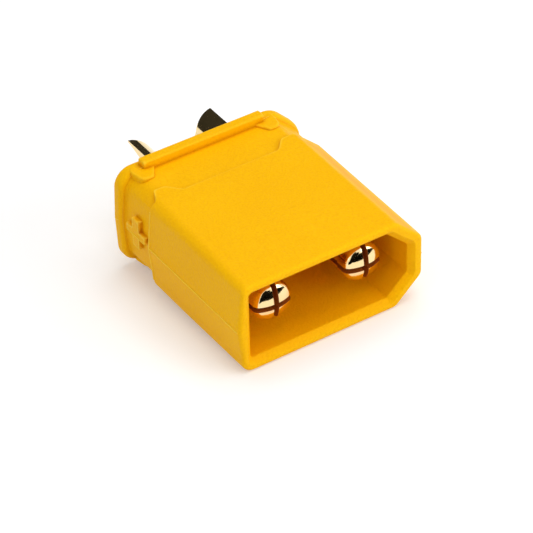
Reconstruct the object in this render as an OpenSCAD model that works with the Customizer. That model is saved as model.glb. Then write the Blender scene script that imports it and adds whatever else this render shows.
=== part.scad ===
// Two-pole battery connector, male half: one moulded housing and two slotted round contacts.
// X runs across the width with the keying chamfers on +X, the mouth faces -Y, and +Z is up.
// The origin is under the middle of the part, on the plane of its lowest faces.

/* [Mating shell] */
// Width of the shell, measured at the parting plane
shell_w = 10.2; // [9.6:0.1:12]
// Height of the shell at the step behind it
shell_h = 5.2; // [4.8:0.1:6.4]
// Length of the shell from its mouth to the step on its sides
shell_l = 7.8; // [7:0.1:10]
// How much the square side leans in from the parting plane to the top and the bottom
side_draft = 0.24; // [0:0.02:0.3]
// How much the top and the bottom each come in from the step to the mouth
top_draft = 0.13; // [0.05:0.01:0.2]
// Width of the keying chamfers, along X
key_w = 1.48; // [1:0.05:1.8]
// Height of the keying chamfers, along Z
key_h = 1.36; // [1:0.05:1.6]
// Radius of the two square-side corners
shell_corner_r = 0.38; // [0.15:0.01:0.6]
// Radius where the keying chamfers meet the flat faces
key_corner_r = 0.3; // [0.15:0.01:0.6]
// Radius round the outer edge of the mouth
lip_r = 0.2; // [0.05:0.01:0.22]

/* [Cavity] */
// Distance in from the shell's largest outline to the mouth
land = 0.43; // [0.4:0.01:0.6]
// The same distance along the keying chamfers
key_land = 0.51; // [0.4:0.01:0.7]
// Width of the lead-in bevel, from the land to the cavity wall
lead_in_w = 0.3; // [0.1:0.05:0.4]
// Depth of the lead-in bevel
lead_in_l = 0.28; // [0.1:0.02:0.5]
// Depth of the cavity from the mouth to its floor
cavity_l = 7.3; // [6.5:0.1:7.6]
// Radius of the mouth's corners on the square side
mouth_corner_r = 0.45; // [0.35:0.05:0.7]

/* [Neck] */
// Distance from the mouth to the front face of the flange
neck_end = 10.2; // [9.6:0.1:12]
// Step down from the shell to the neck, on the top and the bottom
neck_drop = 0.06; // [0.04:0.01:0.2]
// Step in from the shell to the neck, on the sides
neck_inset = 0.2; // [0.1:0.01:0.4]
// Radius of the neck's corners on the square side
neck_corner_r = 1; // [0.5:0.05:1.3]
// Radius of the neck's corners on the keyed side
neck_key_r = 0.6; // [0.3:0.05:1]
// How much farther back the shell reaches at its ears
ear_l = 0.7; // [0.3:0.05:1]
// Distance from features_x to where each ear starts to rise, on its inner side
ear_in = 2.55; // [2:0.05:2.8]
// Length of each ear's inner slope, along X
ear_slope = 0.85; // [0.4:0.05:1]
// Width of the ears at their tips, on the square side
ear_tip = 0.4; // [0.1:0.05:0.5]
// Length of the outer slope of those two ears, along X
ear_fall = 0.42; // [0.2:0.02:0.6]

/* [Flange] */
// Thickness of the flange, along Y
flange_t = 0.66; // [0.5:0.02:1]
// How far the flange stands out past the shell's widest line on each side
flange_side = 0.05; // [0:0.01:0.4]
// How far the flange stands above the top and below the bottom of the shell
flange_rise = 0.05; // [0.05:0.01:0.3]
// Radius of the flange's corners on the square side
flange_corner_r = 0.95; // [0.5:0.05:1.4]
// Width of the flange's chamfers on the keyed side, along X
flange_key_w = 1.35; // [0.9:0.05:1.6]
// Height of the flange's chamfers, along Z
flange_key_h = 1.35; // [0.9:0.05:1.7]
// Radius where those chamfers meet the flange's straight edges
flange_key_r = 1.3; // [0.5:0.05:1.4]
// Radius round the flange's front edge
flange_front_r = 0.28; // [0.1:0.02:0.4]
// Radius round the flange's back edge
flange_back_r = 0.12; // [0.05:0.01:0.2]

/* [Bars and pads] */
// Middle of the bars, pads and ears, which sit off centre towards the square side
features_x = -0.4; // [-0.6:0.05:0]
// Length of the raised bars on the top and the bottom
bar_l = 6.8; // [5:0.1:7.4]
// Width of the bars, along Y
bar_w = 0.55; // [0.4:0.01:0.6]
// Height of the bars above the shell
bar_rise = 0.4; // [0.2:0.02:0.6]
// How far the front of the bars stands ahead of the flange
bar_ahead = 0.12; // [0:0.02:0.2]
// Radius of the bars' edges
bar_r = 0.1; // [0.04:0.01:0.15]
// Distance from features_x to the inner end of each pad's root
pad_in = 2.76; // [2.4:0.02:3]
// Length of each pad at its root, along X
pad_root = 1.26; // [1:0.02:1.5]
// How much the inner end of a pad slants towards its front edge
pad_in_slant = 0.5; // [0.2:0.02:0.6]
// How much the outer end of a pad slants towards its front edge
pad_out_slant = 0.14; // [0:0.02:0.3]
// How far the pads reach ahead of the flange
pad_reach = 0.82; // [0.4:0.02:1.2]
// Radius of a pad's outer front corner
pad_r = 0.35; // [0.1:0.05:0.4]

/* [Polarity signs] */
// Length of the strokes of the plus on the square side and the minus on the keyed side
sign_l = 1.6; // [1:0.1:1.8]
// Width of the strokes that run along Y
sign_w = 0.37; // [0.2:0.01:0.5]
// Width of the upright stroke of the plus
sign_post_w = 0.55; // [0.3:0.05:0.7]
// How far the signs stand out from the neck
sign_rise = 0.15; // [0.05:0.01:0.19]
// Distance from the mouth to the middle of the signs
sign_y = 9; // [8.8:0.05:9.2]

/* [Contacts] */
// Distance between the axes of the two contacts
pitch = 5; // [4.6:0.1:5.6]
// Diameter of the round head of a contact
pin_d = 2.04; // [1.96:0.02:2.2]
// Length of the head, from its tip
head_l = 0.95; // [0.8:0.05:1.4]
// Height of the dome of the head
dome_l = 0.5; // [0.46:0.02:0.6]
// Radius round the edge of the dome
dome_r = 0.36; // [0.2:0.02:0.4]
// Diameter of the shank behind the head
shank_d = 1.94; // [1.5:0.02:1.94]
// Distance from the mouth back to the tip of a contact
tip_recess = 0.86; // [0.5:0.02:1.5]
// Width of the two crossed slots
slot_w = 0.27; // [0.12:0.01:0.34]
// Length of the slots, from the tip
slot_l = 4.9; // [3:0.1:5.4]
// Diameter of the root of a contact, where it leaves the floor of the cavity
root_d = 2.1; // [2:0.05:2.3]
// Length of the root that stands in the cavity
root_l = 0.7; // [0.3:0.1:1]
// Diameter over the barbs that grip the moulding
barb_d = 2.44; // [2.3:0.02:2.6]
// Number of barbs
barb_count = 3; // [2:1:4]
// Running clearance between a contact and its hole
fit_gap = 0.03; // [0.01:0.01:0.05]

/* [Solder cups] */
// Outer diameter of a solder cup, and of the shoulder inside the moulding
cup_d = 2.8; // [2.6:0.05:3.1]
// Wall of a solder cup
cup_wall = 0.42; // [0.3:0.02:0.5]
// How far a cup stands out behind the flange
cup_l = 3.2; // [2:0.1:5]
// Depth of the shoulder's seat in the back of the flange
seat_l = 1.2; // [0.6:0.1:1.6]
// How far past the axis the open half of a cup is cut away
cup_cut = 0.14; // [0:0.02:0.3]
// Length of full round cup left behind the flange
cup_ring = 0.35; // [0.2:0.05:0.8]
// Radius of the two free corners of a cup
cup_corner_r = 0.15; // [0.05:0.05:0.4]
// Length over which the bore of a cup flares towards its end
cup_flare_l = 1.1; // [0.4:0.1:1.6]
// Wall left at the end of the flare
cup_edge = 0.1; // [0.04:0.02:0.2]

/* [Hidden] */
$fn = 96;

body_l = neck_end + flange_t;
total_l = body_l + cup_l;
front_y = -total_l / 2;
mid_z = shell_h / 2 + bar_rise;
half_w = shell_w / 2;
half_h = shell_h / 2;
neck_top = half_h - neck_drop;
flange_top = half_h + flange_rise;
bar_y = neck_end - bar_ahead;
seat_y = body_l - seat_l;
flange_draft = side_draft / 2;
tilt = atan(top_draft / shell_l);
pivot_y = shell_l + ear_l + 1;
mouth_key_r = lead_in_w + 0.1;
barb_y = cavity_l + 0.8;
root_cone = 0.2;
slope_steps = 6;
apex_r = 2;
corner_step = 22.5;
over = 1;
reach = 2 * shell_w;

function unit(v) = v / norm(v);
function wrap(i, n) = (i + n) % n;

// The outline of a keyed section, anticlockwise as seen from the mouth, with the parting plane at
// zero. The square side leans in from that plane to the top and the bottom, and the other side has
// the two chamfers.
function keyed(w, h, draft, kw, kh) = [
    [-w, 0],
    [-w + draft, -h],
    [w - kw, -h],
    [w, -h + kh],
    [w, h - kh],
    [w - kw, h],
    [-w + draft, h]
];

// Corner radii in the same order
function radii(square_r, key_r) = [apex_r, square_r, key_r, key_r, key_r, key_r, square_r];

// Where a fillet touches the edges at corner i of outline p, and where its centre lies
function leg(p, i, d) = unit(p[wrap(i + d, len(p))] - p[i]);
function half_angle(p, i) = acos(leg(p, i, -1) * leg(p, i, 1)) / 2;
function touch(p, r, i, d) = p[i] + leg(p, i, d) * r[i] / tan(half_angle(p, i));
function centre(p, r, i) = p[i] + unit(leg(p, i, -1) + leg(p, i, 1)) * r[i] / sin(half_angle(p, i));
function heading(p, i) = atan2(leg(p, i, 1)[1], leg(p, i, 1)[0]);

// The filled outline, with its corners rounded
module rounded(p, r) {
    polygon([for (i = [0:len(p) - 1]) for (d = [-1, 1]) touch(p, r, i, d)]);
    for (i = [0:len(p) - 1]) translate(centre(p, r, i)) circle(r[i]);
}

// A flat shape in X and Z, pushed from y0 to y1
module push(y0, y1) {
    translate([0, y1, 0]) rotate([90, 0, 0]) linear_extrude(y1 - y0) children();
}

// A flat shape in X and Y, pushed from z0 to z1
module raise(z0, z1) {
    translate([0, 0, z0]) linear_extrude(z1 - z0) children();
}

// Lays a section along a straight line in X and Z, from a little before its start to a little past
// its end. In the section x is the distance to the right of the line, and y is y.
module lay(start, along, length) {
    translate([start[0], 0, start[1]]) rotate([0, 90 - along, 0])
        translate([0, 0, -over]) linear_extrude(length + 2 * over) children();
}

// Lays a section round an outline, outwards being to the right: along each edge, and across each
// rounded corner in steps. It is for cutting, so the overlaps at the corners do no harm.
module follow(p, r) {
    for (i = [0:len(p) - 1]) {
        j = wrap(i + 1, len(p));
        turn = 180 - 2 * half_angle(p, j);
        steps = round(turn / corner_step);
        lay(touch(p, r, i, 1), heading(p, i), norm(touch(p, r, j, -1) - touch(p, r, i, 1))) children();
        for (k = [1:1:steps - 1]) {
            along = heading(p, i) + turn * k / steps;
            lay(centre(p, r, j) + r[j] * [sin(along), -cos(along)], along, 0) children();
        }
    }
}

// Section of what is cut from an edge to round it, at a front face or, with side 1, at a back face.
// The arc is a hair larger than r and so ends in a faint edge on both faces.
module round_waste(y, r, side) {
    difference() {
        translate([-r, side > 0 ? y - r : y - over]) square(r + over);
        translate([-r, y - side * r]) circle(1.02 * r);
    }
}

// A filled rectangle with round corners
module round_box(x0, x1, y0, y1, r) {
    rounded([[x0, y0], [x1, y0], [x1, y1], [x0, y1]], [r, r, r, r]);
}

// A flat shape in Y and Z, pushed from x0 to x1
module push_x(x0, x1) {
    translate([x0, 0, 0]) rotate([90, 0, 90]) linear_extrude(x1 - x0) children();
}

// The same outline or radii without the corner at the parting plane, for a side that doesn't lean
function straight(list) = [for (i = [1:len(list) - 1]) list[i]];

// A straight outline's edges moved inwards, those of the two chamfers by their own distance
function edge_inset(i, d, key_d) = i == 1 || i == 3 ? key_d : d;
function inset(p, d, key_d) = [
    for (i = [0:len(p) - 1])
        p[i] + (leg(p, i, -1) * edge_inset(i, d, key_d)
            + leg(p, i, 1) * edge_inset(wrap(i - 1, len(p)), d, key_d)) / sin(2 * half_angle(p, i))
];

// The line where the shell ends above the neck: straight, with an ear near each end. Each ear rises
// on its inner side, and the one on the square side falls again before it meets the side.
function ease(t) = t * t * (3 - 2 * t);
function slope(x0, x1, y0, y1) = [for (k = [0:slope_steps])
    [x0 + (x1 - x0) * k / slope_steps, y0 + (y1 - y0) * ease(k / slope_steps)]];
function rise(side) = slope(features_x + side * ear_in, features_x + side * (ear_in + ear_slope),
    shell_l, shell_l + ear_l);
function fall() = slope(features_x - ear_in - ear_slope - ear_tip - ear_fall,
    features_x - ear_in - ear_slope - ear_tip, shell_l, shell_l + ear_l);
function backwards(list) = [for (k = [len(list) - 1:-1:0]) list[k]];

// The shell is what two tilted blocks have in common, one for the draft of its top and one for that
// of its bottom
module mating_shell() {
    far = half_h + top_draft * (pivot_y - shell_l) / shell_l;
    corners = radii(shell_corner_r, key_corner_r);
    difference() {
        intersection() {
            for_side(1) push(-over, pivot_y) rounded(keyed(half_w, far, side_draft, key_w, key_h), corners);
            for_side(-1) push(-over, pivot_y) rounded(keyed(half_w, far, side_draft, key_w, key_h), corners);
            push(0, pivot_y - over / 2) square(reach, center = true);
        }
        follow(keyed(half_w, half_h - top_draft, side_draft, key_w, key_h), corners)
            round_waste(0, lip_r, -1);
        raise(-reach / 2, reach / 2) polygon(concat(
            rise(1),
            [[reach, shell_l + ear_l], [reach, pivot_y + over], [-reach, pivot_y + over], [-reach, shell_l]],
            fall(),
            backwards(rise(-1))));
    }
}

// Tilts a block about a line behind the shell: with side 1 its top sinks towards the mouth
module for_side(side) {
    translate([0, pivot_y, 0]) rotate([side * tilt, 0, 0]) translate([0, -pivot_y, 0]) children();
}

module neck() {
    outline = keyed(half_w - neck_inset, neck_top, side_draft, key_w, key_h);
    push(shell_l - over, neck_end + flange_t / 2) rounded(outline, radii(neck_corner_r, neck_key_r));
}

module flange() {
    outline = keyed(half_w + flange_side, flange_top, flange_draft, flange_key_w, flange_key_h);
    corners = radii(flange_corner_r, flange_key_r);
    difference() {
        push(neck_end, body_l) rounded(outline, corners);
        follow(outline, corners) round_waste(neck_end, flange_front_r, -1);
        follow(outline, corners) round_waste(body_l, flange_back_r, 1);
    }
}

// The bar runs over the top and under the bottom, so one block through the neck makes both
module bars() {
    top = half_h + bar_rise;
    translate([features_x, 0, 0]) intersection() {
        push_x(-bar_l / 2, bar_l / 2) round_box(bar_y, bar_y + bar_w, -top, top, bar_r);
        raise(-top, top) round_box(-bar_l / 2, bar_l / 2, bar_y, bar_y + bar_w, bar_r);
        push(bar_y, bar_y + bar_w) round_box(-bar_l / 2, bar_l / 2, -top, top, bar_r);
    }
}

module pads() {
    root_y = neck_end + flange_t / 2;
    tip_y = neck_end - pad_reach;
    outline = [[pad_in, root_y], [pad_in, neck_end], [pad_in + pad_in_slant, tip_y],
        [pad_in + pad_root - pad_out_slant, tip_y], [pad_in + pad_root, neck_end], [pad_in + pad_root, root_y]];
    corners = [bar_r, bar_r, bar_r, pad_r, bar_r, bar_r];
    translate([features_x, 0, 0]) for (side = [0, 1]) mirror([side, 0, 0]) intersection() {
        raise(-flange_top, flange_top) rounded(outline, corners);
        push_x(0, half_w) round_box(tip_y, root_y, -flange_top, flange_top, bar_r);
    }
}

// The plus and the minus, which stand out of the neck's two sides from inside them
module signs() {
    side_x = half_w - neck_inset;
    for (side = [-1, 1]) translate([side * side_x, sign_y, 0])
        cube([2 * sign_rise, sign_l, sign_w], center = true);
    translate([-side_x, sign_y, 0]) cube([2 * sign_rise, sign_post_w, sign_l], center = true);
}

// The lead-in bevel and the cavity behind it: the mouth's outline, less what narrows it
module cavity() {
    mouth = inset(straight(keyed(half_w, half_h, 0, key_w, key_h)), land, key_land);
    corners = straight(radii(mouth_corner_r, mouth_key_r));
    difference() {
        push(-over, cavity_l) rounded(mouth, corners);
        follow(mouth, corners) polygon([
            [0, 0],
            [over, 0],
            [over, cavity_l + over],
            [-lead_in_w, cavity_l + over],
            [-lead_in_w, lead_in_l]
        ]);
    }
}

// Turns a flat shape, whose x is the radius and y the distance from the mouth, about a contact's axis
module turned() {
    rotate([-90, 0, 0]) rotate_extrude() children();
}

module contact_hole() {
    grow = fit_gap;
    turned() polygon([
        [0, cavity_l - over],
        [root_d / 2 + grow, cavity_l - over],
        [root_d / 2 + grow, barb_y],
        [barb_d / 2 + grow, barb_y],
        [barb_d / 2 + grow, seat_y],
        [cup_d / 2 + grow, seat_y],
        [cup_d / 2 + grow, body_l + over],
        [0, body_l + over]
    ]);
}

// Half the section of the head: a cylinder under a shallow dome, less what rounds the dome's edge.
// The dome's own radius is the one that lets that rounding run smoothly into it.
module head_section() {
    r = pin_d / 2;
    ring = r - dome_r;
    dome = (ring * ring + dome_l * dome_l - dome_r * dome_r) / (2 * (dome_l - dome_r));
    outwards = unit([ring, dome_l - dome]);
    difference() {
        union() {
            intersection() {
                translate([0, dome]) circle(dome);
                square([r, dome_l]);
            }
            translate([0, dome_l / 2 + 0.1]) square([r, head_l - dome_l / 2 - 0.1]);
        }
        difference() {
            polygon([[ring, dome_l], [r + over, dome_l], [r + over, -over], [ring, dome_l] + 2 * outwards]);
            translate([ring, dome_l]) circle(1.02 * dome_r);
        }
    }
}

// side is 1 for a contact whose closed half of the cup lies towards +X, and -1 for the other
module contact(side) {
    shank_y = tip_recess + head_l;
    cup_r = cup_d / 2;
    bore_r = cup_r - cup_wall;
    barb_l = (seat_y - barb_y) / barb_count;
    difference() {
        union() {
            turned() translate([0, tip_recess]) head_section();
            turned() polygon(concat(
                [[0, shank_y - 0.1], [shank_d / 2, shank_y - 0.1],
                 [shank_d / 2, cavity_l - root_l - root_cone], [root_d / 2, cavity_l - root_l]],
                [for (k = [0:barb_count - 1]) each
                    [[root_d / 2, barb_y + (k + 0.5) * barb_l], [barb_d / 2, barb_y + (k + 1) * barb_l]]],
                [[cup_r, seat_y], [cup_r, total_l], [0, total_l]]));
        }
        for (turn = [0, 90]) rotate([0, turn, 0])
            translate([-slot_w / 2, tip_recess - over, -pin_d])
                cube([slot_w, slot_l + over, 2 * pin_d]);
        turned() polygon([
            [0, body_l],
            [bore_r, body_l],
            [bore_r, total_l - cup_flare_l],
            [cup_r - cup_edge, total_l],
            [cup_r - cup_edge, total_l + over],
            [0, total_l + over]
        ]);
        open_half(side);
    }
}

// What is cut from a cup to open it: one side of it, and the two free corners of the half that stays
module open_half(side) {
    cup_r = cup_d / 2;
    start = body_l + cup_ring;
    mirror([side > 0 ? 0 : 1, 0, 0]) translate([-cup_d, start, -cup_d])
        cube([cup_d + cup_cut, cup_l, 2 * cup_d]);
    push_x(-cup_d, cup_d) difference() {
        translate([start, -cup_d]) square([cup_l, 2 * cup_d]);
        translate([body_l - cup_d, 0]) round_box(0, total_l - body_l + cup_d, -cup_r, cup_r, cup_corner_r);
    }
}

module place() {
    translate([0, front_y, mid_z]) children();
}

module housing() {
    color([0.99, 0.75, 0.02]) place() difference() {
        union() {
            mating_shell();
            neck();
            flange();
            bars();
            pads();
            signs();
        }
        cavity();
        for (side = [-1, 1]) translate([side * pitch / 2, 0, 0]) contact_hole();
    }
}

module positive_pin() {
    color([0.93, 0.74, 0.38]) place() translate([-pitch / 2, 0, 0]) contact(1);
}

module negative_pin() {
    color([0.93, 0.74, 0.38]) place() translate([pitch / 2, 0, 0]) contact(-1);
}

housing();
positive_pin();
negative_pin();
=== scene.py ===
import math

import bmesh
import bpy
from mathutils import Matrix, Vector, noise


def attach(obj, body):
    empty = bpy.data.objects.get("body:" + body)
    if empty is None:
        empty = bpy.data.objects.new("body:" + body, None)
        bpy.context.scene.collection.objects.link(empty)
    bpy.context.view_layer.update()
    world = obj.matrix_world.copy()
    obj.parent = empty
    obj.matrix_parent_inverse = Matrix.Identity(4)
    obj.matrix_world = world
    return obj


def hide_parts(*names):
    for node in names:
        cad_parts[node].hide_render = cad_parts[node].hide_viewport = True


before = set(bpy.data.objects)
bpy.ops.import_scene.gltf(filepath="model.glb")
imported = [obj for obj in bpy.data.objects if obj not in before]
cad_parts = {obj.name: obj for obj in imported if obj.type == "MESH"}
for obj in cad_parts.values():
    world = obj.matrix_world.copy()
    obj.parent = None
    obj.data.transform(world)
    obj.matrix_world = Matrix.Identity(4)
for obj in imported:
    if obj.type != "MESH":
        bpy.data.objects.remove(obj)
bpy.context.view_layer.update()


# Camera: a long lens looking down on the mouth and the top of the connector, with the picture
# turned by a little over a degree, as the photograph was taken.
camera = bpy.data.objects.new("camera", bpy.data.cameras.new("camera"))
camera.location = (-0.057682, -0.091986, 0.086131)
camera.rotation_euler = [math.radians(angle) for angle in (51.5768, 1.2598, -33.5034)]
camera.data.lens = 194.76
camera.data.sensor_width = 36
camera.data.clip_start = 0.01
camera.data.clip_end = 5
bpy.context.scene.collection.objects.link(camera)
bpy.context.scene.camera = camera
bpy.context.scene.view_settings.view_transform = "Standard"


# Light: a broad soft box overhead, weaker ones at the left and low at the right, and a white room
# that the camera and the gilding see at full strength. Three dark cards, which only reflections
# see, give the gilding its dark patches.
def soft_box(name, place, target, width, height, power):
    """An area lamp that faces a target."""
    light = bpy.data.lights.new(name, "AREA")
    light.shape = "RECTANGLE"
    light.size = width
    light.size_y = height
    light.energy = power
    lamp = bpy.data.objects.new(name, light)
    lamp.location = place
    lamp.rotation_euler = (Vector(target) - Vector(place)).to_track_quat("-Z", "Y").to_euler()
    bpy.context.scene.collection.objects.link(lamp)


soft_box("overhead_box", (0.03, 0.0, 0.17), (0, 0, 0), 0.14, 0.12, 0.127)
soft_box("left_box", (-0.16, -0.03, 0.08), (0, 0, 0), 0.10, 0.10, 0.028)
soft_box("right_box", (0.095, -0.14, 0.068), (0, 0, 0.003), 0.13, 0.12, 0.125)

world = bpy.data.worlds.new("white_room")
bpy.context.scene.world = world
world.use_nodes = True
room = world.node_tree
room.nodes.clear()


def background(strength):
    """A white background node of one strength."""
    node = room.nodes.new("ShaderNodeBackground")
    node.inputs["Color"].default_value = (1, 1, 1, 1)
    node.inputs["Strength"].default_value = strength
    return node


seen = room.nodes.new("ShaderNodeLightPath")
shown = seen.outputs["Is Camera Ray"]
for kind in ("Is Glossy Ray", "Is Transmission Ray"):
    either = room.nodes.new("ShaderNodeMath")
    either.operation = "MAXIMUM"
    room.links.new(shown, either.inputs[0])
    room.links.new(seen.outputs[kind], either.inputs[1])
    shown = either.outputs[0]
mixed = room.nodes.new("ShaderNodeMixShader")
sky = room.nodes.new("ShaderNodeOutputWorld")
room.links.new(shown, mixed.inputs["Fac"])
room.links.new(background(0.52).outputs[0], mixed.inputs[1])
room.links.new(background(1.0).outputs[0], mixed.inputs[2])
room.links.new(mixed.outputs[0], sky.inputs["Surface"])


def dark_card(name, corners, grey):
    """A flat card, warm and nearly black, that only reflections show."""
    mesh = bpy.data.meshes.new(name)
    mesh.from_pydata(corners, [], [tuple(range(len(corners)))])
    paint = bpy.data.materials.new(name)
    paint.use_nodes = True
    surface = paint.node_tree.nodes["Principled BSDF"].inputs
    surface["Base Color"].default_value = (grey, grey * 0.95, grey * 0.8, 1)
    surface["Roughness"].default_value = 1.0
    surface["Specular IOR Level"].default_value = 0.0
    mesh.materials.append(paint)
    card = bpy.data.objects.new(name, mesh)
    card.visible_camera = False
    card.visible_diffuse = False
    card.visible_shadow = False
    bpy.context.scene.collection.objects.link(card)


AHEAD_Y, LENS_Y = -0.014, -0.087
dark_card(
    "card_ahead",
    [
        (-0.0110, AHEAD_Y, 0.0004),
        (0.0160, AHEAD_Y, 0.0008),
        (0.0160, AHEAD_Y, 0.0034),
        (-0.0110, AHEAD_Y, 0.0040),
    ],
    0.006,
)
dark_card(
    "lens_of_the_camera",
    [
        (-0.085, LENS_Y, -0.01),
        (0.024, LENS_Y, -0.01),
        (0.006, LENS_Y, 0.034),
        (-0.020, LENS_Y, 0.056),
        (-0.035, LENS_Y, 0.085),
        (-0.085, LENS_Y, 0.085),
    ],
    0.012,
)
dark_card(
    "card_behind",
    [(-0.11, 0.09, 0.035), (0.16, 0.09, 0.005), (0.16, 0.05, 0.17), (-0.11, 0.05, 0.17)],
    0.035,
)


# Housing: one injection moulding in yellow-orange nylon with a fine spark-eroded grain. The mating
# shell draws in a little towards its mouth, a bevel leads into the cavity, and behind the shell come
# the neck with its two polarity signs and the flange with its bars and pads.
class Wire:
    """A socket of a material's nodes, on which arithmetic writes Math nodes."""

    def __init__(self, graph, socket):
        self.graph = graph
        self.socket = socket

    def maths(self, operation, *others):
        inputs = dict(enumerate((self, *others)))
        return self.graph.add("ShaderNodeMath", {"operation": operation}, inputs)

    def __add__(self, other):
        return self.maths("ADD", other)

    __radd__ = __add__

    def __mul__(self, other):
        return self.maths("MULTIPLY", other)

    __rmul__ = __mul__

    def __sub__(self, other):
        return self.maths("SUBTRACT", other)

    def __rsub__(self, other):
        return self.maths("MULTIPLY_ADD", -1.0, other)

    def clamp(self):
        return self.graph.add("ShaderNodeClamp", {}, {0: self})


class Graph:
    """A material's node tree, with one method that adds any node."""

    def __init__(self, name):
        self.material = bpy.data.materials.new(name)
        self.material.use_nodes = True
        self.tree = self.material.node_tree
        self.tree.nodes.clear()
        self.surface = self.tree.nodes.new("ShaderNodeBsdfPrincipled")
        output = self.tree.nodes.new("ShaderNodeOutputMaterial")
        self.tree.links.new(self.surface.outputs[0], output.inputs["Surface"])
        self.place = self.add("ShaderNodeTexCoord", out="Object")

    def put(self, node, inputs):
        for key, value in inputs.items():
            if isinstance(value, Wire):
                self.tree.links.new(value.socket, node.inputs[key])
            else:
                node.inputs[key].default_value = value

    def add(self, kind, settings=None, inputs=None, out=0):
        node = self.tree.nodes.new(kind)
        for key, value in (settings or {}).items():
            setattr(node, key, value)
        self.put(node, inputs or {})
        return Wire(self, node.outputs[out])

    def noise(self, scale, detail, vector=None):
        inputs = {"Vector": vector or self.place, "Scale": scale, "Detail": detail}
        return self.add("ShaderNodeTexNoise", {}, inputs)

    def blend(self, mask, first, second):
        return self.add("ShaderNodeMix", {"data_type": "RGBA"}, {0: mask, 6: first, 7: second}, 2)

    def bump(self, height, distance, strength):
        inputs = {"Height": height, "Distance": distance, "Strength": strength}
        return self.add("ShaderNodeBump", {}, inputs)

    def occlusion(self, distance, inside):
        """How far a place is closed in by the rest of its piece or, if inside, how sharp its edge is."""
        settings = {"only_local": True, "samples": 8, "inside": inside}
        return 1 - self.add("ShaderNodeAmbientOcclusion", settings, {"Distance": distance}, "AO")

    def axes(self):
        return (self.add("ShaderNodeSeparateXYZ", {}, {0: self.place}, name) for name in "XYZ")

    def finish(self, **inputs):
        self.put(self.surface, {key.replace("_", " "): value for key, value in inputs.items()})
        return self.material


# Where the mouth and the parting plane lie in the frame, in metres.
MOUTH, PARTING = -0.00703, 0.003

nylon = Graph("yellow_nylon")
x, y, z = nylon.axes()
grain = nylon.noise(9000, 3.0)
drift = nylon.noise(260, 2.0)
mottle = (drift - 0.5) * 0.6 + (grain - 0.5) * 1.8 + 0.5
tint = nylon.blend(mottle, (0.93, 0.45, 0.0004, 1), (1.0, 0.54, 0.0010, 1))
# Painted light on the nylon: the cavity is painted a deeper orange, a painted shade for light bounced
# between its walls; below, creases are painted darker and edges paler.
painted_cavity_shade = ((0.00475 - x.maths("ABSOLUTE")) * 5000).clamp()
painted_cavity_shade = painted_cavity_shade * ((0.0023 - (z - PARTING).maths("ABSOLUTE")) * 5000).clamp()
painted_cavity_shade = painted_cavity_shade * ((y - MOUTH) * 2500).clamp() * ((0.0011 - y) * 2000).clamp()
shade = nylon.blend(painted_cavity_shade * 0.5, tint, (0.98, 0.38, 0.0002, 1))
# Painted shade: creases and steps, found by ambient occlusion, are painted a darker orange.
painted_crease_shade = (nylon.occlusion(0.0003, False) * 2.0 - 0.14).clamp() * (1 - painted_cavity_shade) * 0.85
shade = nylon.blend(painted_crease_shade, shade, (0.64, 0.23, 0.0002, 1))
# Painted highlight: sharp edges, found by occlusion from inside the piece, are painted paler.
painted_edge_highlight = (nylon.occlusion(0.00018, True) * 3.0 - 0.5).clamp() * 0.85
shade = nylon.blend(painted_edge_highlight, shade, (1.0, 0.66, 0.05, 1))
nylon_finish = nylon.finish(
    Base_Color=shade,
    Roughness=(grain - 0.5) * 0.25 + 0.48,
    Normal=nylon.bump(grain, 0.00003, 0.9),
    IOR=1.3,
    Specular_IOR_Level=0.2,
    Specular_Tint=(1.0, 0.80, 0.45, 1),
)

# Shapes are in millimetres about the mouth and the parting plane until place() moves them.
HALF_W, HALF_H = 5.1, 2.6
KEY_W, KEY_H = 1.48, 1.36
LEAN = 0.24
SHELL_L, EAR_L, CAVITY_L = 7.8, 0.7, 7.3
NECK_IN = 0.2
FLANGE_Y, BACK_Y = 10.2, 10.86
PITCH = 5.0


def keyed(half_w, half_h, lean, key_w, key_h):
    """The outline that keeps the plug the right way round: an apex at the parting plane, two square
    corners, and the two chamfers."""
    return [
        Vector(corner)
        for corner in (
            (-half_w, 0),
            (-half_w + lean, -half_h),
            (half_w - key_w, -half_h),
            (half_w, -half_h + key_h),
            (half_w, half_h - key_h),
            (half_w - key_w, half_h),
            (-half_w + lean, half_h),
        )
    ]


def inset(corners, distances):
    """Moves each edge of an outline inwards by its own distance."""
    lines = []
    for i, start in enumerate(corners):
        along = (corners[(i + 1) % len(corners)] - start).normalized()
        lines.append((start + Vector((-along.y, along.x)) * distances[i], along))
    moved = []
    for i, (point, along) in enumerate(lines):
        before, towards = lines[i - 1]
        cross = towards.x * along.y - towards.y * along.x
        step = ((point.x - before.x) * along.y - (point.y - before.y) * along.x) / cross
        moved.append(before + towards * step)
    return moved


def section(corners, radii, bends, runs):
    """An outline's points in X and Z, with its corners rounded: bends gives the steps round each
    corner, and runs the steps along each edge."""
    points = []
    count = len(corners)
    rounded = []
    for i, corner in enumerate(corners):
        back = (corners[i - 1] - corner).normalized()
        on = (corners[(i + 1) % count] - corner).normalized()
        half = back.angle(on) / 2
        centre = corner + (back + on).normalized() * radii[i] / math.sin(half)
        start = corner + back * radii[i] / math.tan(half) - centre
        turn = math.pi - 2 * half
        turns = [Matrix.Rotation(turn * k / bends[i], 2) for k in range(bends[i] + 1)]
        rounded.append([centre + rotation @ start for rotation in turns])
    for i, arc in enumerate(rounded):
        points.extend(arc)
        after = rounded[(i + 1) % count][0]
        points.extend(arc[-1].lerp(after, k / runs[i]) for k in range(1, runs[i]))
    return points


def ring(outline, depth):
    """An outline's points in three dimensions, at a distance from the mouth that may differ from
    point to point."""
    return [Vector((p.x, depth(p.x) if callable(depth) else depth, p.y)) for p in outline]


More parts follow.
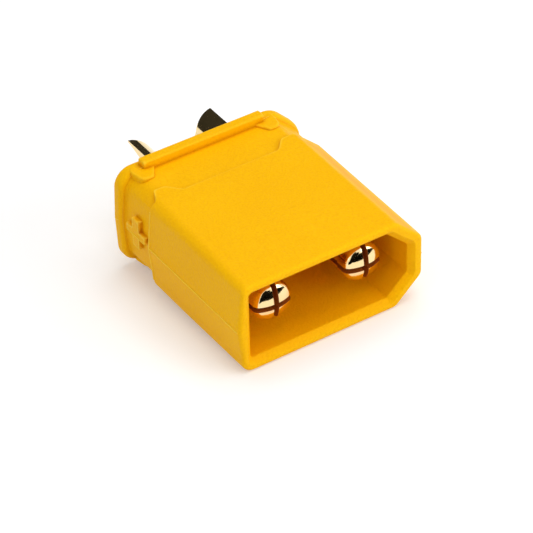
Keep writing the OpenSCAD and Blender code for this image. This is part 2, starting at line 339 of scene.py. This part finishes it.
def loft(rings):
    """A closed skin over rings of equal numbers of points, from the mouth's side to the back."""
    mesh = bmesh.new()
    rows = [[mesh.verts.new(point) for point in points] for points in rings]
    for near, far in zip(rows, rows[1:]):
        for i in range(len(near)):
            j = (i + 1) % len(near)
            mesh.faces.new((near[i], near[j], far[j], far[i]))
    mesh.faces.new(reversed(rows[0]))
    mesh.faces.new(rows[-1])
    bmesh.ops.recalc_face_normals(mesh, faces=mesh.faces)
    return mesh


def solid(name, mesh):
    """A working object in millimetres, with the mouth at y 0 and the parting plane at z 0."""
    data = bpy.data.meshes.new(name)
    mesh.to_mesh(data)
    mesh.free()
    thing = bpy.data.objects.new(name, data)
    bpy.context.scene.collection.objects.link(thing)
    return thing


def settle(thing):
    """Makes what a thing's modifiers give its own mesh, and takes the modifiers away."""
    evaluated = thing.evaluated_get(bpy.context.evaluated_depsgraph_get())
    made = bpy.data.meshes.new_from_object(evaluated)
    thing.modifiers.clear()
    thing.data = made
    return thing


def combine(base, operation, tools):
    """Joins tools to a solid, or cuts them out of it, and removes them."""
    for tool in tools:
        step = base.modifiers.new(tool.name, "BOOLEAN")
        step.operation = operation
        step.solver = "EXACT"
        step.object = tool
    bpy.context.view_layer.update()
    settle(base)
    for tool in tools:
        bpy.data.objects.remove(tool)
    return base


def block(name, low, high, edge):
    """A rectangular block with rounded edges, between its lowest and highest corners."""
    mesh = bmesh.new()
    bmesh.ops.create_cube(mesh, size=1)
    low, high = Vector(low), Vector(high)
    for vertex in mesh.verts:
        vertex.co = [low[k] + (vertex.co[k] + 0.5) * (high[k] - low[k]) for k in range(3)]
    edges = mesh.edges[:]
    bmesh.ops.bevel(mesh, geom=edges, offset=edge, segments=5, profile=0.5, affect="EDGES")
    return solid(name, mesh)


def turned(name, profile, steps=96, at=0.0):
    """A closed turned solid round an axis along Y, from pairs of radius and distance."""
    angles = [math.tau * k / steps for k in range(steps)]
    rings = []
    for radius, depth in profile:
        rings.append([Vector((at + radius * math.cos(a), depth, radius * math.sin(a))) for a in angles])
    return solid(name, loft(rings))


def curve_between(start, corner, end, steps):
    """Points of a small round between two straight runs that would meet at a corner."""
    points = []
    for k in range(steps + 1):
        t = k / steps
        weights = (1 - t) ** 2, 2 * t * (1 - t), t * t
        axes = zip(start, corner, end)
        points.append(tuple(sum(w * value for w, value in zip(weights, axis)) for axis in axes))
    return points


def quarter(radius, steps):
    """Steps of a quarter round: how far in from the outline, and how far on from its start."""
    angles = [math.pi / 2 * k / steps for k in range(steps + 1)]
    return [(radius * (1 - math.sin(angle)), radius * (1 - math.cos(angle))) for angle in angles]


def ease(t):
    """A smooth step from 0 to 1."""
    t = min(1.0, max(0.0, t))
    return t * t * (3 - 2 * t)


def shell_end(x):
    """Where the shell ends above the neck, with its ears near the corners."""
    if x > 0:
        return SHELL_L + EAR_L * ease((x - 2.15) / 0.85)
    return SHELL_L + EAR_L * min(ease((-2.95 - x) / 0.85), ease((x + 4.62) / 0.42))


BENDS = (4, 14, 8, 8, 8, 8, 14)
RUNS = (10, 170, 12, 12, 12, 170, 10)


def shell_section(depth, moved=0.0):
    """The shell's outline at a distance from the mouth, moved inwards. It is drafted, and its
    corners are tighter towards the mouth."""
    drawn = HALF_H - 0.13 * (SHELL_L - depth) / SHELL_L
    corner = 0.40 + 0.26 * depth / SHELL_L
    lower, keys = max(corner, 0.58), 0.48 - 0.15 * depth / SHELL_L
    radii = [max(0.02, r - moved) for r in (2.0, lower, keys, keys, keys, keys, corner)]
    outline = inset(keyed(HALF_W, drawn, LEAN, KEY_W, KEY_H), [moved] * 7)
    return section(outline, radii, BENDS, RUNS)


LIP, REAR_EDGE, COVER = 0.2, 0.04, 0.6
rings = []
for away, depth in quarter(LIP, 8):
    rings.append(ring(shell_section(0, away), depth))
for k in range(1, 17):
    t = k / 16
    outline = shell_section(LIP + (SHELL_L - LIP) * t)
    rings.append(ring(outline, lambda x: LIP + (shell_end(x) - REAR_EDGE - LIP) * t))
for away, behind in curve_between((0, REAR_EDGE), (0, 0), (REAR_EDGE, 0), 3)[1:]:
    rings.append(ring(shell_section(SHELL_L, away), lambda x: shell_end(x) - behind))
rings.append(ring(shell_section(SHELL_L, COVER), shell_end))
rings.append(ring(shell_section(SHELL_L, COVER), 7.0))
housing = solid("moulded_housing", loft(rings))

# The neck's steps, the bars and the pads lie about this X, a little off the middle.
MIDDLE = -0.4


def sunk(points, depth):
    """Lowers the neck's top and bottom near the ears, where their step is deeper."""
    for point in points:
        off = abs(point.x - MIDDLE)
        near = ease((off - 1.6) / 1.2) * ease((4.9 - off) / 0.8)
        point.z -= math.copysign(0.07, point.z) * near * ease((9.5 - depth) / 0.8) * (abs(point.z) > 2)
    return points


NECK_RUNS = (6, 60, 6, 6, 6, 60, 6)
neck_radii = (2.0, 1.0, 0.6, 0.6, 0.6, 0.6, 1.0)
neck_outline = keyed(HALF_W - NECK_IN, HALF_H - 0.07, LEAN, KEY_W, KEY_H)
levels = [(0, 6.6)] + [(0, 7.6 + 0.2 * k) for k in range(13)]
levels += curve_between((0, 10.06), (0, 10.22), (0.16, 10.22), 5)
rings = []
for out, depth in levels:
    radii = [r + out for r in neck_radii]
    rounded = section(inset(neck_outline, [-out] * 7), radii, BENDS, NECK_RUNS)
    rings.append(sunk(ring(rounded, depth), depth))
rings.append(ring(section(neck_outline, neck_radii, BENDS, NECK_RUNS), 10.5))
neck = solid("neck", loft(rings))

flange_outline = keyed(HALF_W + 0.05, HALF_H + 0.05, 0.12, 1.35, 1.35)
flange_radii = (2.0, 0.95, 1.3, 1.3, 1.3, 1.3, 0.95)
levels = [(away, FLANGE_Y + on) for away, on in quarter(0.28, 8)]
levels += [(away, BACK_Y - on) for on, away in quarter(0.12, 6)]
rings = []
for away, depth in levels:
    radii = [max(0.05, r - away) for r in flange_radii]
    outline = section(inset(flange_outline, [away] * 7), radii, (4, 16, 16, 16, 16, 16, 16), (6,) * 7)
    rings.append(ring(outline, depth))
flange = solid("flange", loft(rings))

bar = block("bar", (-3.8, 10.08, -3.0), (3.0, 10.63, 3.0), 0.1)


def pad(name, side):
    """A pad that reaches forward from the flange over the neck, from the top to the bottom."""
    plan = ((2.76, 10.5), (2.76, 10.2), (3.26, 9.38), (3.88, 9.38), (4.02, 10.2), (4.02, 10.5))
    plan = [Vector(corner) for corner in plan]
    radii = (0.16, 0.25, 0.2, 0.35, 0.2, 0.16)
    levels = [(away, HALF_H + 0.05 - down) for away, down in quarter(0.09, 6)]
    rings = []
    for away, height in [(away, -height) for away, height in levels] + levels[::-1]:
        outline = section(inset(plan, [away] * 6), [r - away for r in radii], (6,) * 6, (2,) * 6)
        rings.append([Vector((MIDDLE + side * p.x, p.y, height)) for p in outline])
    return solid(name, loft(rings))


pads = [pad("left_pad", -1), pad("right_pad", 1)]

NECK_X = HALF_W - NECK_IN


def plus(name, arm, post):
    """The plus on the square side, from the lowest and highest corners of its strokes in Y and Z."""
    (a0, a1), (a2, a3) = arm
    (p0, p1), (p2, p3) = post
    plan = [(p0, p1), (p2, p1), (p2, a1), (a2, a1), (a2, a3), (p2, a3)]
    plan += [(p2, p3), (p0, p3), (p0, a3), (a0, a3), (a0, a1), (p0, a1)]
    mesh = bmesh.new()
    inner = [mesh.verts.new((-NECK_X + 0.3, y, z)) for y, z in plan]
    outer = [mesh.verts.new((-NECK_X - 0.18, y, z)) for y, z in plan]
    for i in range(len(plan)):
        j = (i + 1) % len(plan)
        mesh.faces.new((inner[i], inner[j], outer[j], outer[i]))
    mesh.faces.new(inner)
    edges = mesh.faces.new(outer).edges[:]
    bmesh.ops.bevel(mesh, geom=edges, offset=0.025, segments=3, profile=0.5, affect="EDGES")
    bmesh.ops.recalc_face_normals(mesh, faces=mesh.faces)
    return solid(name, mesh)


signs = [
    plus("plus", ((8.2, -0.11), (9.82, 0.26)), ((8.73, -0.72), (9.28, 0.88))),
    block("minus", (NECK_X - 0.3, 8.2, -0.185), (NECK_X + 0.15, 9.8, 0.185), 0.035),
]
combine(housing, "UNION", [neck, flange, bar, *pads, *signs])

mouth = keyed(HALF_W, HALF_H, 0, KEY_W, KEY_H)[1:]
mouth = inset(mouth, [0.43, 0.51, 0.43, 0.51, 0.43, 0.43])
mouth_radii = (0.45, 0.4, 0.4, 0.4, 0.4, 0.45)
BEVEL = 0.3
levels = [(-0.035, -1.0)]
levels += curve_between((-0.035, 0), (0, 0), (0.024, 0.0224), 4)
levels += curve_between((0.27, 0.252), (BEVEL, 0.28), (BEVEL, 0.33), 4)
levels += [(BEVEL, depth) for depth in (1, 2, 3, 4, 5, 6, 7)]
levels += curve_between((BEVEL, CAVITY_L - 0.1), (BEVEL, CAVITY_L), (0.36, CAVITY_L), 3)
rings = []
for away, depth in levels:
    radii = [max(0.06, r - away) for r in mouth_radii]
    outline = inset(mouth, [away] * 6)
    trimmed = ring(section(outline, radii, (10, 6, 6, 6, 6, 10), (110, 24, 24, 24, 110, 50)), depth)
    if -0.1 < depth < 0.2:
        for point in trimmed:
            rough = noise.noise(point * 6) * 0.022 + noise.noise(point * 2.3) * 0.016
            point.x += rough * math.copysign(1, -point.x)
            point.z += rough * math.copysign(1, -point.z)
    rings.append(trimmed)
cavity = solid("cavity", loft(rings))

COLLAR_Y, SHOULDER_Y = 8.1, 9.66
hole = [(1.08, 6.8), (1.08, COLLAR_Y), (1.25, COLLAR_Y), (1.25, SHOULDER_Y), (1.43, SHOULDER_Y)]
hole += [(1.43, 10.78), (1.49, 10.87), (1.49, 12.0)]
holes = [turned("hole", hole, at=side * PITCH / 2) for side in (-1, 1)]
combine(housing, "DIFFERENCE", [cavity, *holes])


def place(thing, across=0.0):
    """Brings a finished piece from millimetres about the mouth into metres in the frame."""
    move = Matrix.Translation((across * 0.001, MOUTH, PARTING))
    thing.data.transform(move @ Matrix.Scale(0.001, 4))


def smooth(thing, degrees):
    """Shades a piece smoothly over its rounds, with its flat faces left flat."""
    for face in thing.data.polygons:
        face.use_smooth = True
    thing.data.set_sharp_from_angle(angle=math.radians(degrees))
    weigh = thing.modifiers.new("weigh", "WEIGHTED_NORMAL")
    weigh.keep_sharp = True
    weigh.weight = 100
    settle(thing)


def tidy(thing, gap):
    """Merges stray doubles that the joins leave, and lays triangles over the large faces."""
    mesh = bmesh.new()
    mesh.from_mesh(thing.data)
    bmesh.ops.remove_doubles(mesh, verts=mesh.verts[:], dist=gap)
    bmesh.ops.dissolve_degenerate(mesh, edges=mesh.edges[:], dist=gap)
    bmesh.ops.triangulate(mesh, faces=[face for face in mesh.faces if len(face.verts) > 4])
    mesh.to_mesh(thing.data)
    mesh.free()


tidy(housing, 0.0005)
smooth(housing, 32)
place(housing)
housing.data.materials.clear()
housing.data.materials.append(nylon_finish)
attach(housing, "root")
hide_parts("housing")


# Parting line: where the two halves of the mould met, the nylon crept into the joint and left a
# fine ragged flash along both sides of the housing. Nodes lay it along its path.
flash_tree = bpy.data.node_groups.new("flash_along_path", "GeometryNodeTree")
for name, kind in (
    ("Path", "NodeSocketGeometry"),
    ("Step", "NodeSocketFloat"),
    ("Radius", "NodeSocketFloat"),
    ("Raggedness", "NodeSocketFloat"),
    ("Grain", "NodeSocketFloat"),
    ("Seed", "NodeSocketFloat"),
    ("Finish", "NodeSocketMaterial"),
):
    flash_tree.interface.new_socket(name, in_out="INPUT", socket_type=kind)
flash_tree.interface.new_socket("Flash", in_out="OUTPUT", socket_type="NodeSocketGeometry")
given = flash_tree.nodes.new("NodeGroupInput")
line = flash_tree.nodes.new("GeometryNodeMeshToCurve")
even = flash_tree.nodes.new("GeometryNodeResampleCurve")
even.mode = "LENGTH"
bead = flash_tree.nodes.new("GeometryNodeCurvePrimitiveCircle")
bead.inputs["Resolution"].default_value = 6
swept = flash_tree.nodes.new("GeometryNodeCurveToMesh")
swept.inputs["Fill Caps"].default_value = True
ragged = flash_tree.nodes.new("ShaderNodeTexNoise")
ragged.noise_dimensions = "4D"
centred = flash_tree.nodes.new("ShaderNodeVectorMath")
centred.operation = "SUBTRACT"
centred.inputs[1].default_value = (0.5, 0.5, 0.5)
scaled = flash_tree.nodes.new("ShaderNodeVectorMath")
scaled.operation = "SCALE"
moved = flash_tree.nodes.new("GeometryNodeSetPosition")
real = flash_tree.nodes.new("GeometryNodeRealizeInstances")
coat = flash_tree.nodes.new("GeometryNodeSetMaterial")
result = flash_tree.nodes.new("NodeGroupOutput")
for source, target in (
    (given.outputs["Path"], line.inputs["Mesh"]),
    (line.outputs[0], even.inputs["Curve"]),
    (given.outputs["Step"], even.inputs["Length"]),
    (given.outputs["Radius"], bead.inputs["Radius"]),
    (even.outputs[0], swept.inputs["Curve"]),
    (bead.outputs[0], swept.inputs["Profile Curve"]),
    (given.outputs["Grain"], ragged.inputs["Scale"]),
    (given.outputs["Seed"], ragged.inputs["W"]),
    (ragged.outputs["Color"], centred.inputs[0]),
    (centred.outputs[0], scaled.inputs[0]),
    (given.outputs["Raggedness"], scaled.inputs["Scale"]),
    (swept.outputs[0], moved.inputs["Geometry"]),
    (scaled.outputs[0], moved.inputs["Offset"]),
    (moved.outputs[0], real.inputs[0]),
    (real.outputs[0], coat.inputs["Geometry"]),
    (given.outputs["Finish"], coat.inputs["Material"]),
    (coat.outputs[0], result.inputs[0]),
):
    flash_tree.links.new(source, target)


def give(modifier, **values):
    """Sets a Geometry Nodes modifier's inputs, found by name, through their identifiers."""
    for item in modifier.node_group.interface.items_tree:
        if item.item_type == "SOCKET" and item.in_out == "INPUT" and item.name in values:
            modifier[item.identifier] = values[item.name]


def flash(name, paths, seed):
    """Flash along open paths, given as points in millimetres about the mouth."""
    mesh = bmesh.new()
    for path in paths:
        points = [mesh.verts.new(point) for point in path]
        for start, end in zip(points, points[1:]):
            mesh.edges.new((start, end))
    thing = solid(name, mesh)
    lay = thing.modifiers.new("lay", "NODES")
    lay.node_group = flash_tree
    give(lay, Step=0.07, Radius=0.04, Raggedness=0.06, Grain=5.0, Seed=seed, Finish=nylon_finish)
    bpy.context.view_layer.update()
    settle(thing)
    place(thing)
    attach(thing, "root")


SHELL_X, FLANGE_X = HALF_W + 0.002, HALF_W + 0.038
rear_edge = [
    (-HALF_W + max(0.01, LEAN / HALF_H * abs(height)), 7.77, height)
    for height in (2.05, 1, 0.1, -0.1, -1, -1.95)
]
flash(
    "left_parting_line",
    [
        [(-SHELL_X, 0.16, 0.0), (-SHELL_X, 7.75, 0.0)],
        [(-NECK_X + 0.008, 7.82, 0.0), (-NECK_X + 0.008, 8.15, 0.0)],
        [(-NECK_X - 0.17, 8.25, -0.08), (-NECK_X - 0.17, 9.75, -0.08)],
        [(-FLANGE_X, 10.45, 0.0), (-FLANGE_X, 10.75, 0.0)],
        rear_edge,
    ],
    3.0,
)
flash(
    "right_parting_line",
    [
        [(SHELL_X, 0.16, 0.0), (SHELL_X, 7.75, 0.0)],
        [(FLANGE_X, 10.45, 0.0), (FLANGE_X, 10.75, 0.0)],
    ],
    8.0,
)


# Contacts: two turned pins in gilt brass. The head and shank are sawn crosswise into four leaves,
# barbs hold the collar in the moulding, and the far end is a solder cup milled open on one side.
TIP, HEAD_L, HEAD_R, SHANK_R = 0.86, 0.95, 1.02, 0.97
SLOT, SLOT_END, SLOT_LOW = 0.135, 5.76, 0.11

gold = Graph("plated_gold")
x, y, z = gold.axes()
# Turning leaves fine rings. The slot faces are painted a dark red-brown, a painted shade and reflection
# of the orange nylon, and are made less metallic and rougher.
turning = gold.add("ShaderNodeMapping", {}, {"Vector": gold.place, "Scale": (300, 9000, 300)})
wear = gold.noise(1800, 3.0)
off_axis = (x.maths("ABSOLUTE") - PITCH / 2000).maths("ABSOLUTE")
off_plane = (z - (PARTING - SLOT_LOW / 1000)).maths("ABSOLUTE")
painted_slot_shade = ((0.000141 - off_axis.maths("MINIMUM", off_plane)) * 200000).clamp()
painted_slot_shade = painted_slot_shade * ((-0.0012 - y) * 20000).clamp()
plated = gold.blend(wear, (0.95, 0.70, 0.33, 1), (1.0, 0.80, 0.45, 1))
gold_finish = gold.finish(
    Base_Color=gold.blend(painted_slot_shade, plated, (0.42, 0.11, 0.012, 1)),
    Metallic=1.0 - painted_slot_shade * 0.6,
    Roughness=(wear - 0.5) * 0.06 + 0.08 + painted_slot_shade * 0.4,
    Normal=gold.bump(gold.noise(1.0, 2.0, turning), 0.000001, 0.2),
)

DOME, DOME_R = 0.5, 0.36

ring_r = HEAD_R - DOME_R
cap_r = (ring_r**2 + DOME**2 - DOME_R**2) / (2 * (DOME - DOME_R))
lean = math.atan2(ring_r, cap_r - DOME)
profile = []
start = math.asin(SLOT * 1.45 / cap_r)
for k in range(13):
    angle = start + (lean - start) * k / 12
    profile.append((cap_r * math.sin(angle), TIP + cap_r * (1 - math.cos(angle))))
for k in range(1, 15):
    angle = lean + (math.pi / 2 - lean) * k / 14
    profile.append((ring_r + DOME_R * math.sin(angle), TIP + DOME - DOME_R * math.cos(angle)))
HEEL = TIP + HEAD_L
profile += [(HEAD_R, HEEL - 0.06)]
profile += curve_between((HEAD_R, HEEL - 0.02), (HEAD_R, HEEL), (HEAD_R - 0.02, HEEL), 3)
profile += curve_between((SHANK_R + 0.01, HEEL), (SHANK_R, HEEL), (SHANK_R, HEEL + 0.01), 2)
profile += [(SHANK_R, depth) for depth in (2.4, 3.2, 4.2, 5.0, SLOT_END + 0.1)]


def leaf_section(radius, depth):
    """One quarter of the pin's section, less half the width of each slot."""
    edge = math.sqrt(radius**2 - SLOT**2)
    first = math.atan2(SLOT, edge)
    points = [Vector((SLOT, depth, SLOT)), Vector((SLOT + (edge - SLOT) / 2, depth, SLOT))]
    for k in range(25):
        angle = first + (math.pi / 2 - 2 * first) * k / 24
        points.append(Vector((radius * math.cos(angle), depth, radius * math.sin(angle))))
    points.append(Vector((SLOT, depth, SLOT + (edge - SLOT) / 2)))
    return points


leaf = solid("leaf", loft([leaf_section(radius, depth) for radius, depth in profile]))
soften = leaf.modifiers.new("soften", "BEVEL")
soften.width = 0.018
soften.segments = 2
soften.limit_method = "ANGLE"
soften.angle_limit = math.radians(50)
settle(leaf)

round_axis = bpy.data.node_groups.new("leaves_round_axis", "GeometryNodeTree")
for name, kind in (
    ("Leaf", "NodeSocketGeometry"),
    ("Leaves", "NodeSocketInt"),
    ("Finish", "NodeSocketMaterial"),
):
    round_axis.interface.new_socket(name, in_out="INPUT", socket_type=kind)
round_axis.interface.new_socket("Contact", in_out="OUTPUT", socket_type="NodeSocketGeometry")
given = round_axis.nodes.new("NodeGroupInput")
points = round_axis.nodes.new("GeometryNodeMeshLine")
points.inputs["Offset"].default_value = (0, 0, 0)
number = round_axis.nodes.new("GeometryNodeInputIndex")
part = round_axis.nodes.new("ShaderNodeMath")
part.operation = "DIVIDE"
turn = round_axis.nodes.new("ShaderNodeMath")
turn.operation = "MULTIPLY"
turn.inputs[1].default_value = math.tau
about = round_axis.nodes.new("ShaderNodeCombineXYZ")
copies = round_axis.nodes.new("GeometryNodeInstanceOnPoints")
real = round_axis.nodes.new("GeometryNodeRealizeInstances")
coat = round_axis.nodes.new("GeometryNodeSetMaterial")
result = round_axis.nodes.new("NodeGroupOutput")
for source, target in (
    (given.outputs["Leaves"], points.inputs["Count"]),
    (number.outputs[0], part.inputs[0]),
    (given.outputs["Leaves"], part.inputs[1]),
    (part.outputs[0], turn.inputs[0]),
    (turn.outputs[0], about.inputs["Y"]),
    (points.outputs[0], copies.inputs["Points"]),
    (given.outputs["Leaf"], copies.inputs["Instance"]),
    (about.outputs[0], copies.inputs["Rotation"]),
    (copies.outputs[0], real.inputs[0]),
    (real.outputs[0], coat.inputs["Geometry"]),
    (given.outputs["Finish"], coat.inputs["Material"]),
    (coat.outputs[0], result.inputs[0]),
):
    round_axis.links.new(source, target)

repeat = leaf.modifiers.new("repeat", "NODES")
repeat.node_group = round_axis
give(repeat, Leaves=4, Finish=gold_finish)
bpy.context.view_layer.update()
settle(leaf)
for vertex in leaf.data.vertices:
    vertex.co.z -= SLOT_LOW * max(0.0, 1 - abs(vertex.co.z) / HEAD_R)

ROOT_R, BARB_R, BARB_STEP = 1.05, 1.22, 0.52
CUP_R, BORE_R, CUP_END, CUP_EDGE = 1.4, 0.98, 14.06, 0.08
PAST_AXIS = 0.14


def stem(name, side):
    """The solid part of a contact, from the end of its slots to its solder cup. Side is 1 where the
    closed half of the cup lies towards +X."""
    shape = [(SHANK_R, SLOT_END), (SHANK_R, 6.4), (ROOT_R, 6.6), (ROOT_R, COLLAR_Y)]
    for k in range(3):
        shape += [(ROOT_R, COLLAR_Y + (k + 0.5) * BARB_STEP)]
        shape += [(BARB_R, COLLAR_Y + (k + 1) * BARB_STEP)]
    shape += [(CUP_R, SHOULDER_Y), (CUP_R, CUP_END - CUP_EDGE)]
    shape += curve_between((CUP_R, CUP_END - CUP_EDGE), (CUP_R, CUP_END), (CUP_R - 0.05, CUP_END), 3)[1:]
    body = turned(name, shape, steps=160)
    bore = [(0.3, BACK_Y - 0.15), (BORE_R, BACK_Y + 0.05), (BORE_R, CUP_END - 1.1)]
    bore += curve_between((0.99, CUP_END - 1.05), (1.12, CUP_END - 0.6), (CUP_R - 0.1, CUP_END), 6)
    bore += [(CUP_R - 0.1, CUP_END + 1)]
    near, far = sorted((side * -3.0, side * PAST_AXIS))
    opening = block("opening", (near, BACK_Y + 0.35, -3), (far, CUP_END + 2, 3), 0.12)
    combine(body, "DIFFERENCE", [turned("bore", bore), opening])
    for vertex in body.data.vertices:
        drop = CUP_R - max(vertex.co.z, -CUP_R / 2)
        corner = max(0.0, 1 - (side * vertex.co.x + PAST_AXIS) / 0.22)
        back = min(0.5 * drop, 0.4) + PAST_AXIS * corner**2
        vertex.co.y -= back * ease((vertex.co.y - 12.6) / 1.3)
    return body


def contact(name, node, across, side):
    """Joins a stem and a copy of the leaves into one piece, and puts it in its hole."""
    body = stem(name, side)
    body.data.materials.clear()
    body.data.materials.append(gold_finish)
    mesh = bmesh.new()
    mesh.from_mesh(body.data)
    mesh.from_mesh(leaf.data)
    for face in mesh.faces:
        face.material_index = 0
    mesh.to_mesh(body.data)
    mesh.free()
    tidy(body, 0.0002)
    smooth(body, 32)
    place(body, across)
    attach(body, "root")
    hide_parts(node)


contact("left_contact", "positive_pin", -PITCH / 2, 1)
contact("right_contact", "negative_pin", PITCH / 2, -1)
bpy.data.objects.remove(leaf)


# Floor: a white sweep that touches the bar under the flange and the shell's front bottom edge,
# which is how the connector lies. The camera sees it as white, with the connector's shadow kept.
# The feet and the reach are in metres.
REAR_Y, FRONT_Y, FRONT_Z, REACH, GAP = 0.00305, -0.00683, 0.00053, 0.6, 0.00001
slope = FRONT_Z / (FRONT_Y - REAR_Y)
corners = []
for x, y in ((-REACH, -REACH), (REACH, -REACH), (REACH, REACH), (-REACH, REACH)):
    corners.append((x, y, slope * (y - REAR_Y) - GAP))
floor_mesh = bpy.data.meshes.new("floor")
floor_mesh.from_pydata(corners, [], [(0, 1, 2, 3)])
floor = bpy.data.objects.new("floor", floor_mesh)
bpy.context.scene.collection.objects.link(floor)
paper = Graph("white_paper")
direct = paper.add("ShaderNodeLightPath", out="Is Camera Ray")
glossy = paper.add("ShaderNodeLightPath", out="Is Glossy Ray")
glow = paper.blend(direct.maths("MAXIMUM", glossy), (0, 0, 0, 1), (0.22, 0.22, 0.22, 1))
floor_mesh.materials.append(
    paper.finish(
        Base_Color=(0.86, 0.86, 0.86, 1),
        Roughness=1.0,
        Emission_Color=glow,
        Emission_Strength=1.0,
    )
)
